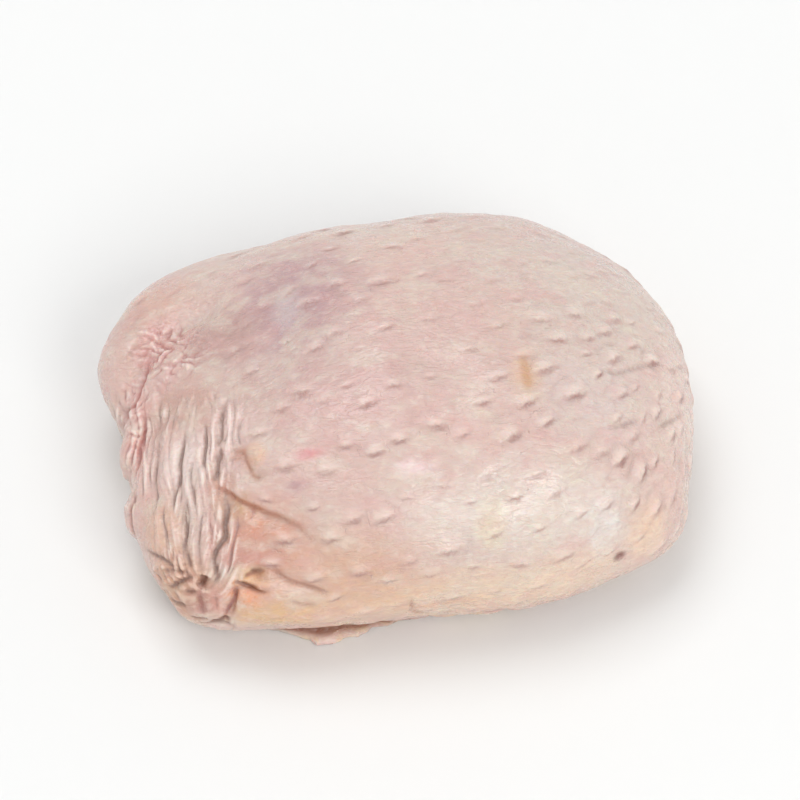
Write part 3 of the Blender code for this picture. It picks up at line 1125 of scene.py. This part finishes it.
def make_mark_group():
    """A follicle seen from its own place: painted shadow under its lip, painted highlight on its top, and
    relief.
    """
    tree, given, put = new_group("follicle mark", ["Place", "Along", "Above"], ["Lip shadow", "Pale", "Height"])
    wander = tree.noise(given["Place"], MARK_WANDER_SIZES, detail=2.0)
    wander = tree.times(tree.minus(wander, 0.5), MARK_WANDER)
    bend = tree.times(given["Along"], given["Along"], MARK_BEND)
    curve = tree.plus(tree.minus(given["Above"], bend), wander)

    def hump(value, middle, width):
        share = tree.math("DIVIDE", tree.minus(value, middle), width)
        return tree.math("EXPONENT", tree.times(share, share, -1.0))

    lip, top = [tree.times(hump(curve, *above), hump(given["Along"], *along)) for above, along in (LIP, TOP)]
    tree.feed(put["Lip shadow"], lip)
    tree.feed(put["Pale"], top)
    tree.feed(put["Height"], tree.minus(tree.times(top, TOP_HEIGHT), lip))


# Patches of the skin: middle and reach in millimetres, raggedness, colour and strength. The ones marked are
# painted highlights.
SKIN_PATCHES = [
    ((36, 10, 33), (22, 26, 17), 0.7, (0.67, 0.595, 0.525), 0.85),
    ((4, 24, 35), (15, 9, 10), 0.8, (0.72, 0.55, 0.47), 0.7),
    ((50, -8, 22), (8, 16, 11), 0.8, (0.79, 0.64, 0.57), 0.75),
    ((-18, 12, 35), (14, 17, 10), 0.8, (0.465, 0.285, 0.305), 0.85),
    ((-19, 10, 36), (3.2, 5.5, 6), 0.8, (0.60, 0.52, 0.525), 0.7),
    ((-9, -10.5, 37.5), (20, 12.5, 10), 0.8, (0.60, 0.39, 0.365), 0.65),
    ((36, -18, 30), (12, 12, 12), 0.9, (0.70, 0.51, 0.46), 0.6),
    ((32, -14, 34), (18, 10, 8), 0.8, (0.69, 0.61, 0.57), 0.65),
    ((43.5, -25, 21), (5, 7, 7), 0.8, (0.80, 0.62, 0.54), 0.4),
    # A broad painted highlight on the lower front, partly the skin's own paler colour.
    ((18, -32, 28), (26, 11, 10), 0.9, (0.73, 0.655, 0.59), 0.9),
    ((12, -34.8, 27.5), (3.2, 4.5, 4.2), 1.2, (0.74, 0.68, 0.42), 0.5),
    # A small pink-white painted highlight.
    ((-0.3, -26.3, 34.6), (4.2, 2, 2.4), 0.7, (0.92, 0.74, 0.74), 0.75),
    ((3, -40, 14), (42, 8, 8), 0.8, (0.80, 0.60, 0.42), 0.8),
    ((-13, -36, 20), (17, 9, 10), 0.9, (0.65, 0.38, 0.23), 0.65),
    ((25, -38, 14), (18, 8, 8), 0.8, (0.80, 0.65, 0.50), 0.7),
    ((40, -31, 17), (5, 6, 7), 0.5, (0.83, 0.61, 0.45), 0.85),
    # A bluish-white painted highlight beside the broad one.
    ((32, -32.6, 22.5), (4.4, 5.5, 7.5), 0.8, (0.82, 0.81, 0.77), 0.7),
    ((-41, 22, 25), (9, 7, 7), 0.8, (0.68, 0.42, 0.34), 0.75),
    ((-41, 12, 25.5), (8, 7, 6.5), 0.9, (0.65, 0.33, 0.30), 0.85),
    ((-46.5, -3, 21), (4, 13, 9), 0.8, (0.75, 0.45, 0.40), 0.75),
    ((-30, 8, 31), (8.5, 8, 7.5), 0.8, (0.45, 0.275, 0.245), 0.8),
    ((-37, -4, 28), (6.5, 7.5, 6.5), 0.8, (0.57, 0.33, 0.265), 0.75),
    ((-42, -4, 25), (4.6, 8, 5.5), 0.6, (0.56, 0.31, 0.25), 0.6),
    ((-28.3, -5.9, 32.8), (6, 6, 5), 0.7, (0.55, 0.36, 0.32), 0.4),
    ((-46, 18.5, 23.5), (4, 6, 5), 0.7, (0.58, 0.31, 0.27), 0.5),
    # Two painted highlights on the crests of the gathered left end.
    ((-39, -15, 26.5), (5, 7.5, 5), 0.6, (0.83, 0.69, 0.64), 0.85),
    ((-30.4, -12.1, 31.8), (3, 3.5, 3.5), 0.6, (0.80, 0.64, 0.59), 0.6),
    ((-44, -25, 21.5), (6, 8, 6), 0.7, (0.69, 0.43, 0.295), 0.7),
    ((-47, -8, 19.5), (2, 4.5, 4), 0.5, (0.78, 0.38, 0.33), 0.6),
    ((-42, -35, 15), (9.5, 8, 8.5), 0.8, (0.66, 0.44, 0.32), 0.85),
    ((-39, -36, 15), (3.8, 3.8, 4.6), 0.7, (0.46, 0.26, 0.26), 0.75),
    ((-35.2, -36.8, 15.8), (2.8, 3.6, 4.6), 0.6, (0.70, 0.38, 0.34), 0.65),
    ((-27.5, -31.5, 25.5), (9.5, 8, 8), 0.4, (0.61, 0.27, 0.17), 0.8),
    ((-29.4, -34.2, 23.3), (6.5, 3.8, 3.4), 0.5, (0.55, 0.27, 0.22), 0.7),
    ((-23.9, -38.8, 19.3), (5, 3.6, 3.6), 0.7, (0.68, 0.41, 0.32), 0.5),
    ((-33.3, -22, 28.2), (3.2, 3.2, 3.2), 0.5, (0.50, 0.25, 0.15), 0.65),
    ((-31.3, -25.9, 27.4), (4.4, 3, 3.2), 0.5, (0.56, 0.35, 0.19), 0.75),
    ((-27.9, -27.9, 26.6), (2, 2.8, 2.8), 0.5, (0.68, 0.28, 0.16), 0.7),
    ((-27, -39, 14), (9, 5, 5.5), 0.8, (0.70, 0.45, 0.22), 0.8),
    ((-30.9, -37.6, 18.2), (4.7, 4.4, 4), 0.7, (0.78, 0.33, 0.16), 0.9),
    ((-29.6, -36.2, 20.9), (4.2, 3, 2.3), 0.6, (0.80, 0.47, 0.22), 0.8),
    ((-27, -36.6, 21.6), (2.4, 1.8, 1.5), 0.5, (0.40, 0.17, 0.08), 0.75),
    ((-24.8, -36.2, 21.5), (2, 1.6, 1.5), 0.5, (0.52, 0.26, 0.18), 0.7),
    ((-37.7, -36.7, 13.5), (2, 2.4, 2.6), 0.5, (0.40, 0.22, 0.20), 0.6),
    ((-26.8, -18.4, 32), (2, 2.4, 2.2), 0.5, (0.88, 0.53, 0.32), 0.75),
    ((-29.4, -17.3, 30.9), (2.4, 1.4, 1.8), 0.4, (0.52, 0.27, 0.17), 0.75),
    ((-27.8, -20.3, 31.1), (1.4, 3, 2.4), 0.4, (0.52, 0.29, 0.20), 0.7),
    ((-26.4, -22.4, 30.9), (2.2, 1.4, 2), 0.4, (0.50, 0.30, 0.24), 0.7),
    # A peach painted highlight on the front edge above the flap's groove.
    ((-18, -38, 5.5), (11, 3.5, 2.2), 0.6, (0.86, 0.56, 0.42), 0.7),
    ((-18, -38.5, 0.6), (15, 3.2, 1.8), 0.4, (0.82, 0.64, 0.58), 0.9),
    ((3, -39.5, 12), (8, 4, 2.2), 0.8, (0.70, 0.40, 0.28), 0.5),
    ((20.7, -10.6, 38), (3.2, 6, 5.5), 0.8, (0.74, 0.53, 0.36), 0.75),
    ((20.8, -10.8, 38), (1.2, 4.6, 4.4), 0.8, (0.60, 0.34, 0.16), 0.8),
    ((-17.7, -21, 34.2), (3, 1.4, 1.8), 0.6, (0.70, 0.27, 0.29), 0.7),
    ((-20.3, -25.6, 31.5), (2.7, 1.2, 1.8), 0.5, (0.48, 0.28, 0.31), 0.65),
    ((34.8, -34, 14.8), (1.5, 1.5, 1.5), 0.3, (0.15, 0.04, 0.02), 1),
    ((10, 38, 20), (16, 9, 13), 0.9, (0.56, 0.40, 0.40), 0.6),
    ((44, 18, 14), (12, 16, 11), 0.9, (0.75, 0.54, 0.42), 0.7),
    ((-30, 34, 14), (15, 12, 9), 0.9, (0.74, 0.50, 0.39), 0.7),
]
# A brownish painted shade over the creases left of the pinch, where the skin tucks under by the ground:
# middle, reach and tint.
PINCH_SHADE_MIDDLE = (-41.5, -34.5, 16.5)
PINCH_SHADE_REACH = (9, 7.5, 8)
PINCH_SHADE_RAGGEDNESS = 0.8
PINCH_SHADE_TINT = (0.91, 0.79, 0.70)

# Colours that follow noise: the size of its spots, where they start and are full in it, strength and colour.
SKIN_BROAD_SIZES = (24.0, 24.0, 24.0)
SKIN_BROAD_SPAN = (0.35, 0.65)
SKIN_COLOURS = ((0.68, 0.48, 0.43), (0.67, 0.53, 0.47))
MOTTLING = [
    ((7.0, 4.2, 4.2), (0.48, 0.68), 0.5, (0.71, 0.62, 0.52)),
    ((7.0, 4.2, 4.2), (0.48, 0.30), 0.34, (0.69, 0.42, 0.395)),
    ((2.0, 1.5, 1.5), (0.52, 0.72), 0.3, (0.80, 0.69, 0.60)),
    ((2.0, 1.5, 1.5), (0.46, 0.28), 0.25, (0.60, 0.39, 0.35)),
]
FAT = ((6.0, 6.0, 4.0), (0.46, 0.62), 0.7, (0.80, 0.63, 0.42))
FLESH = ((8.0, 8.0, 3.5), (0.44, 0.32), 0.6, (0.60, 0.28, 0.25))
MEAT_FAT = ((11.0, 8.0, 8.0), (0.55, 0.68), 0.9, (0.70, 0.50, 0.36))
# Painted shade in the hollows and painted highlight on the crests, following the relief: where they start and
# are full in it, what folds add, strength and colour.
RELIEF_SHADE_AND_HIGHLIGHT = [
    ((0.0, -0.9), 0.5, 0.4, (0.44, 0.29, 0.25)),
    ((0.1, 0.9), 0.45, 0.2, (0.88, 0.76, 0.70)),
]
FLUSH_SPAN = (0.1, -0.8)
FLUSH_STRENGTH = 0.55
FLUSH_COLOUR = (0.60, 0.20, 0.19)
# The dark side of the grain, between these tones: strength and colour.
GRAIN_SPAN = (0.35, 0.7)
SKIN_GRAIN = (0.25, (0.55, 0.34, 0.31))
MEAT_GRAIN = (0.3, (0.36, 0.10, 0.09))
SKIN_GRAIN_DEPTH = 0.12
MEAT_GRAIN_DEPTH = 0.06
# The grey, red, orange and dark creases: strength and colour of the painted shade in their bottoms, with a
# tint of the skin's own.
CREASE_SHADES = [
    (0.65, (0.24, 0.14, 0.11)),
    (0.7, (0.42, 0.11, 0.09)),
    (0.8, (0.38, 0.12, 0.05)),
    (0.9, (0.17, 0.05, 0.02)),
]
# The follicle marks' painted highlights on their tops and painted shadows under their lips, and the height of
# their relief.
TOP_HIGHLIGHT = (0.35, (0.84, 0.68, 0.60))
LIP_SHADOW = (0.85, (0.40, 0.23, 0.205))
MARK_RELIEF = 0.12
# The meat's dark and pale fibres, and its seams.
FIBRE_SIZES = (9.0, 0.8, 1.5)
FIBRE_COLOURS = ((0.42, 0.13, 0.11), (0.60, 0.28, 0.23))
SEAM_TINT = (0.7, (0.68, 0.50, 0.42))
# The roughness of the wettest and the driest places, and what is the same all over.
SKIN_FILM = (0.20, 0.45)
MEAT_FILM = (0.20, 0.42)
SKIN_PLAIN = {
    "Subsurface Weight": 0.35,
    "Subsurface Radius": (1.0, 0.42, 0.25),
    "Subsurface Scale": 1.6 * MM,
    "Specular IOR Level": 0.5,
    "Coat Weight": 0.16,
    "Coat Roughness": 0.15,
}
MEAT_PLAIN = {
    "Subsurface Weight": 0.3,
    "Subsurface Radius": (1.0, 0.3, 0.2),
    "Subsurface Scale": 1.5 * MM,
}


def new_material(name):
    """A material, its Tree, its shader and its Object coordinates in millimetres."""
    material = bpy.data.materials.new(name)
    material.use_nodes = True
    tree = Tree(material.node_tree)
    shader = material.node_tree.nodes["Principled BSDF"]
    coordinates = tree.add("ShaderNodeTexCoord").outputs["Object"]
    return material, tree, shader, tree.stretch(coordinates, (MM, MM, MM))


def patch_mask(tree, place, middle, reach, raggedness):
    """The mask of a soft patch placed on the surface."""
    return tree.group("soft patch", Place=place, Middle=middle, Reach=reach, Raggedness=raggedness)["Mask"]


def add_spots(tree, place, colour, spots, *masks):
    """A colour with spots of noise on it, weakened by masks."""
    sizes, span, strength, tint = spots
    return tree.tint(colour, tint, tree.ramp(tree.noise(place, sizes), *span, 0.0, strength), *masks)


def finish_surface(tree, shader, place, colour, film, height, plain):
    """Give a shader its colour, its moist film, its relief and its plain values."""
    wettest, driest = film
    roughness = tree.group("moist film", Place=place, Wettest=wettest, Driest=driest)["Roughness"]
    bump = tree.add("ShaderNodeBump")
    bump.inputs["Distance"].default_value = MM
    tree.feed(bump.inputs["Height"], height)
    tree.feed(shader.inputs["Base Color"], colour)
    tree.feed(shader.inputs["Roughness"], roughness)
    tree.feed(shader.inputs["Normal"], bump.outputs["Normal"])
    for name, value in plain.items():
        shader.inputs[name].default_value = value


def make_skin_material():
    """Raw chicken skin: pale pink, mottled, moist, with its creases and follicle marks, and painted shade and
    highlights on its relief.
    """
    material, tree, shader, place = new_material("chicken_skin")

    broad = tree.noise(place, SKIN_BROAD_SIZES, distortion=0.4)
    colour = tree.tint(SKIN_COLOURS[0], SKIN_COLOURS[1], tree.ramp(broad, *SKIN_BROAD_SPAN))
    for middle, reach, raggedness, tint, strength in SKIN_PATCHES:
        colour = tree.tint(colour, tint, patch_mask(tree, place, middle, reach, raggedness), strength)
    for spots in MOTTLING:
        colour = add_spots(tree, place, colour, spots)
    grain = tree.group("fine grain", Place=place, Depth=SKIN_GRAIN_DEPTH)
    colour = tree.tint(colour, SKIN_GRAIN[1], tree.ramp(grain["Tone"], *GRAIN_SPAN, SKIN_GRAIN[0], 0.0))

    relief, low, low_behind = tree.attribute("relief")
    colour = add_spots(tree, place, colour, FAT, low)
    colour = add_spots(tree, place, colour, FLESH, low_behind)
    folded, flushed, dark_crease = tree.attribute("fold")
    # Painted shade in the hollows and painted highlight on the crests, stronger in the folds.
    for span, folded_strength, strength, tint in RELIEF_SHADE_AND_HIGHLIGHT:
        share = tree.math("MULTIPLY_ADD", folded, folded_strength, strength)
        colour = tree.tint(colour, tint, tree.ramp(relief, *span), share)
    # A brownish painted shade over the creases left of the pinch.
    pinch_shade = patch_mask(tree, place, PINCH_SHADE_MIDDLE, PINCH_SHADE_REACH, PINCH_SHADE_RAGGEDNESS)
    colour = tree.tint(colour, PINCH_SHADE_TINT, pinch_shade, blend="MULTIPLY")
    colour = tree.tint(colour, FLUSH_COLOUR, flushed, tree.ramp(relief, *FLUSH_SPAN, 0.0, FLUSH_STRENGTH))
    # Painted shade in the bottoms of the creases, in the tucks' corners and in the flap's groove.
    creases = [*tree.attribute("crease"), dark_crease]
    for crease, (strength, tint) in zip(creases, CREASE_SHADES):
        colour = tree.tint(colour, tint, crease, strength)

    along, above, marked = tree.attribute("mark")
    mark = tree.group("follicle mark", Place=place, Along=along, Above=above)
    # Painted highlights on the follicles' tops and painted shadows under their lips.
    for part, (strength, tint) in (("Pale", TOP_HIGHLIGHT), ("Lip shadow", LIP_SHADOW)):
        colour = tree.tint(colour, tint, mark[part], marked, strength)
    height = tree.plus(grain["Height"], tree.times(mark["Height"], marked, MARK_RELIEF))
    finish_surface(tree, shader, place, colour, SKIN_FILM, height, SKIN_PLAIN)
    return material


def make_meat_material():
    """Bare raw meat: pinkish red with pale fibres, seams and fat."""
    material, tree, shader, place = new_material("raw_meat")
    colour = tree.tint(FIBRE_COLOURS[0], FIBRE_COLOURS[1], tree.noise(place, FIBRE_SIZES))
    colour = add_spots(tree, place, colour, MEAT_FAT)
    colour = tree.tint(colour, SEAM_TINT[1], tree.attribute("seam")[0], SEAM_TINT[0])
    grain = tree.group("fine grain", Place=place, Depth=MEAT_GRAIN_DEPTH)
    colour = tree.tint(colour, MEAT_GRAIN[1], tree.ramp(grain["Tone"], *GRAIN_SPAN, MEAT_GRAIN[0], 0.0))
    finish_surface(tree, shader, place, colour, MEAT_FILM, grain["Height"], MEAT_PLAIN)
    return material


def main():
    """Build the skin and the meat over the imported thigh, and the studio round them."""
    make_camera()
    make_floor()
    make_studio()
    make_patch_group()
    make_grain_group()
    make_film_group()
    make_mark_group()

    skin = make_base_skin()
    shape_skin(skin)
    meat = open_skin(skin)
    shape_meat(meat)
    skin.data.materials.append(make_skin_material())
    meat.data.materials.append(make_meat_material())

    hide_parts("thigh")
    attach(skin, "root")
    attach(meat, "root")


main()
